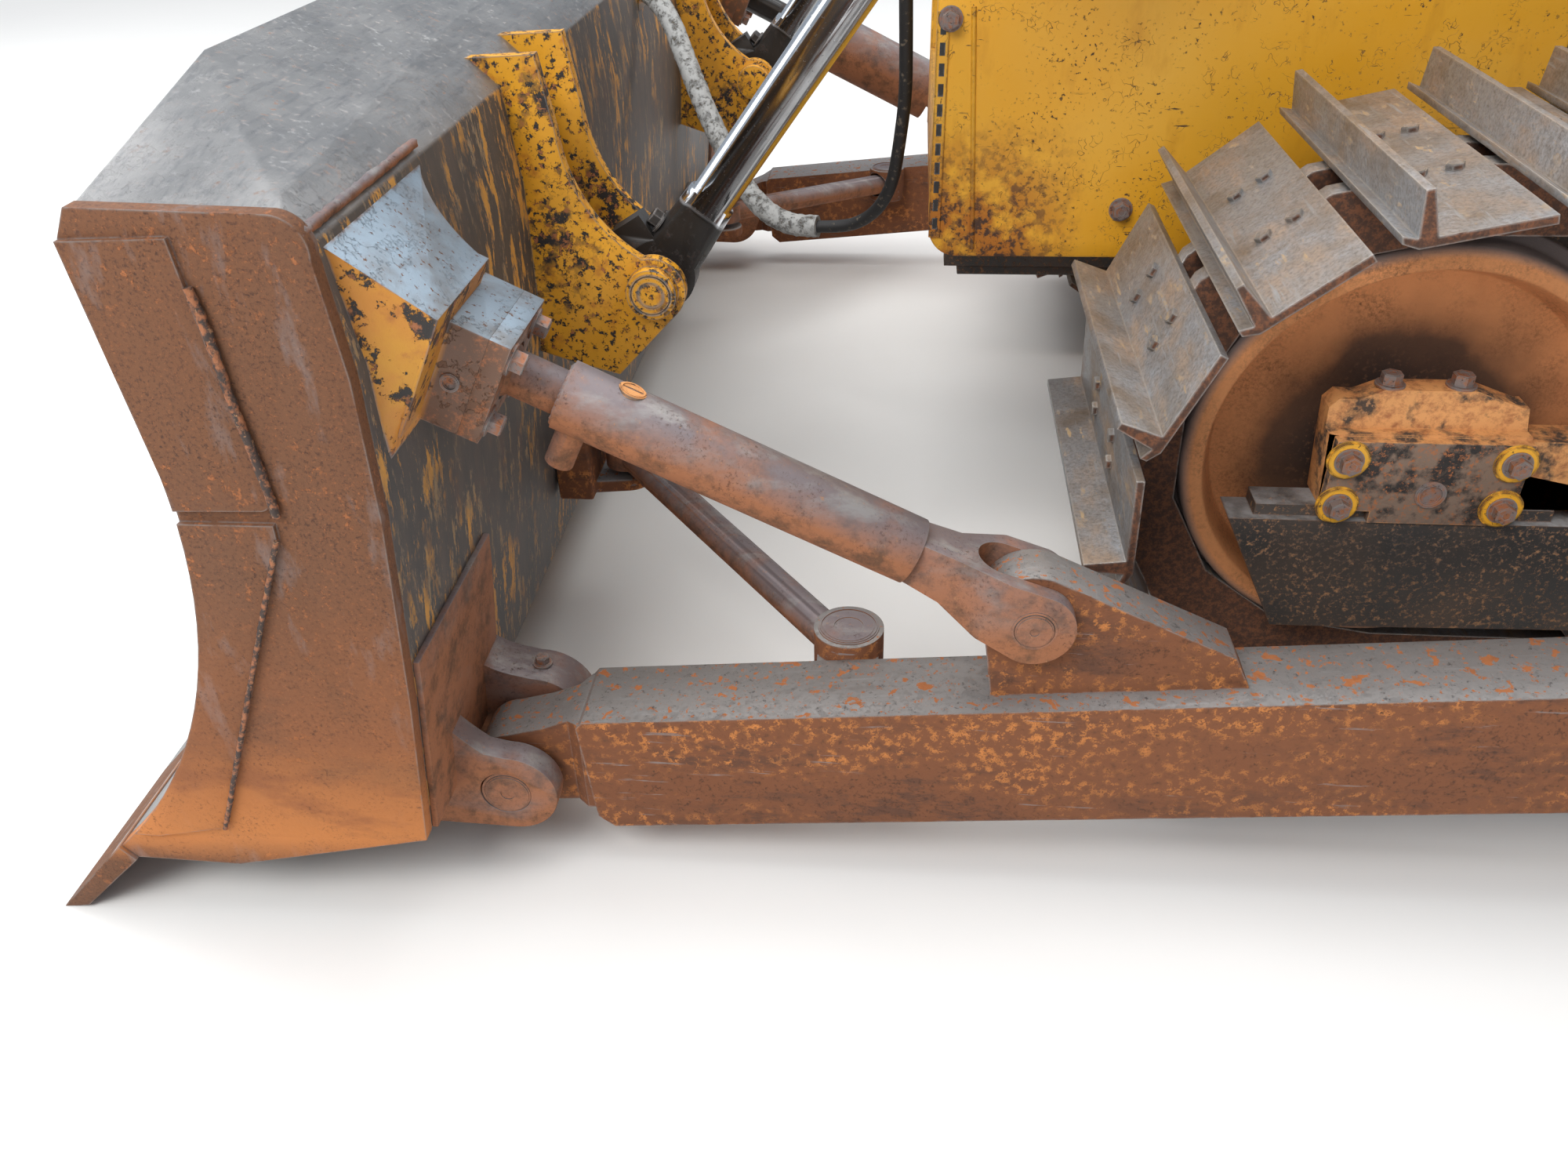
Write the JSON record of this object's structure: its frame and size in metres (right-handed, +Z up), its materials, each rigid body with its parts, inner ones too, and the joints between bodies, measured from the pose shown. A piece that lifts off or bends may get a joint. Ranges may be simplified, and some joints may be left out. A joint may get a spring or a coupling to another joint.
{
  "type": "bulldozer",
  "caption": "Crawler tractor with a straight blade on outside push arms, two nose-mounted lift cylinders, a screw brace and a tilt cylinder, open seat under a canopy.",
  "frame": {"origin": "on the ground under the middle of the machine's length and width", "axes": "+X forward to the blade, +Y to the operator's left, +Z up"},
  "size_m": [5.6521, 3.47, 3.11],
  "materials": {
    "yellow_paint": "scratched gloss",
    "worn_yellow": "worn",
    "track_steel": "worn satin",
    "rusty_iron": "rusty",
    "rusty_plate": "rusty",
    "rusty_tube": "rusty",
    "worn_plate": "worn",
    "ground_steel": "ground bright",
    "dark_steel": "oily",
    "chrome_rod": "polished",
    "black_paint": "satin",
    "engine_iron": "oily",
    "radiator_core": "dull",
    "seat_vinyl": "satin",
    "dark_plastic": "matte",
    "hose_rubber": "matte",
    "hose_sleeve": "frayed"
  },
  "bodies": {
    "tractor": {"air_precleaner": "dark_plastic", "armrests": "seat_vinyl", "belly_guard": "yellow_paint", "canopy_roof": "yellow_paint", "control_levers": "black_paint", "dashboard": "black_paint", "drawbar": "rusty_iron", "engine": "engine_iron", "exhaust_stack": "rusty_tube", "fenders": "yellow_paint", "final_drives": "yellow_paint", "floor_plate": "black_paint", "fuel_tank": "yellow_paint", "grille": "black_paint", "hood": "yellow_paint", "hydraulic_tank": "yellow_paint", "idler_blocks": "rusty_iron", "idlers": "rusty_iron", "lift_yokes": "yellow_paint", "main_frame": "yellow_paint", "nose_hose": "hose_rubber", "pedals": "black_paint", "radiator": "radiator_core", "radiator_guard": "yellow_paint", "rear_case": "yellow_paint", "rops_frame": "yellow_paint", "seat_backrest": "seat_vinyl", "seat_base": "black_paint", "seat_cushion": "seat_vinyl", "sleeve_lower": "hose_sleeve", "sprockets": "track_steel", "tool_box": "yellow_paint", "track_frames": "rusty_iron", "track_left": "track_steel", "track_right": "track_steel", "track_rollers": "rusty_iron", "work_lamps": "black_paint"},
    "trunnion_balls": {"trunnion_balls": "dark_steel"},
    "blade": {"blade_body": "worn_plate", "blade_end_plates": "rusty_plate", "cutting_edge": "ground_steel", "end_bits": "ground_steel", "lift_brackets": "worn_yellow", "blade_lugs": "rusty_plate", "brace_boxes": "worn_plate", "centre_brackets": "rusty_plate", "push_arm_left": "rusty_plate", "brace_fork": "rusty_iron", "brace_sleeve": "rusty_tube", "brace_screw": "dark_steel", "diagonal_brace_left": "rusty_tube", "sleeve_upper": "hose_sleeve"},
    "push_arm_right": {"push_arm_right": "rusty_plate"},
    "tilt_barrel": {"tilt_barrel": "worn_yellow"},
    "tilt_rod": {"tilt_rod": "chrome_rod"},
    "diagonal_brace_right": {"diagonal_brace_right": "rusty_tube"},
    "lift_barrel_left": {"lift_barrel_left": "yellow_paint"},
    "lift_rod_left": {"lift_rod_left": "chrome_rod"},
    "lift_barrel_right": {"lift_barrel_right": "yellow_paint"},
    "lift_rod_right": {"lift_rod_right": "chrome_rod"}
  },
  "joints": [
    {"name": "blade_lift", "type": "hinge", "parent": "tractor", "child": "trunnion_balls", "pos_m": [-0.75191, 0, 0.437], "axis": [0, -1, 0], "range_deg": [-7, 16], "deforming": ["sleeve_lower"]},
    {"name": "blade_tilt", "type": "hinge", "parent": "trunnion_balls", "child": "blade", "pos_m": [-0.75191, 1.492, 0.437], "axis": [0.9961, 0, -0.0882], "range_deg": [-4, 4], "deforming": ["sleeve_upper"]},
    {"name": "right_arm_pivot", "type": "hinge", "parent": "trunnion_balls", "child": "push_arm_right", "pos_m": [-0.75191, -1.492, 0.437], "axis": [0.6833, 0.7277, -0.0605], "range_deg": [-6.1, 6.1]},
    {"name": "tilt_cylinder_pivot", "type": "hinge", "parent": "push_arm_right", "child": "tilt_barrel", "pos_m": [1.20809, -1.483, 0.528], "axis": [0, -1, 0], "range_deg": [-2, 2]},
    {"name": "tilt_rod_slide", "type": "slide", "parent": "tilt_barrel", "child": "tilt_rod", "axis": [0.8969, 0, 0.4422], "range_m": [-0.065, 0.065]},
    {"name": "right_diagonal_pivot", "type": "hinge", "parent": "push_arm_right", "child": "diagonal_brace_right", "pos_m": [1.49309, -1.357, 0.325], "axis": [-0.2751, 0.1139, 0.9547], "range_deg": [-3, 3]},
    {"name": "lift_cylinder_pivot_left", "type": "hinge", "parent": "tractor", "child": "lift_barrel_left", "pos_m": [1.19809, 0.823, 1.707], "axis": [0, -1, 0], "range_deg": [-11, 23.9]},
    {"name": "lift_rod_slide_left", "type": "slide", "parent": "lift_barrel_left", "child": "lift_rod_left", "axis": [0.6, 0, -0.8], "range_m": [-0.636, 0.281]},
    {"name": "lift_cylinder_pivot_right", "type": "hinge", "parent": "tractor", "child": "lift_barrel_right", "pos_m": [1.19809, -0.823, 1.707], "axis": [0, -1, 0], "range_deg": [-11, 23.9]},
    {"name": "lift_rod_slide_right", "type": "slide", "parent": "lift_barrel_right", "child": "lift_rod_right", "axis": [0.6, 0, -0.8], "range_m": [-0.636, 0.281]}
  ],
  "couplings": [
    {"joint": "right_arm_pivot", "follows": "blade_tilt", "ratio": 1.4561},
    {"joint": "tilt_cylinder_pivot", "follows": "blade_tilt", "ratio": 0.3238},
    {"joint": "tilt_rod_slide", "follows": "blade_tilt", "m_per_rad": -0.717},
    {"joint": "right_diagonal_pivot", "follows": "blade_tilt", "ratio": 0.2312},
    {"joint": "lift_cylinder_pivot_left", "follows": "blade_lift", "ratio": 1.43},
    {"joint": "lift_rod_slide_left", "follows": "blade_lift", "m_per_rad": -2.2607},
    {"joint": "lift_cylinder_pivot_right", "follows": "blade_lift", "ratio": 1.43},
    {"joint": "lift_rod_slide_right", "follows": "blade_lift", "m_per_rad": -2.2607}
  ]
}
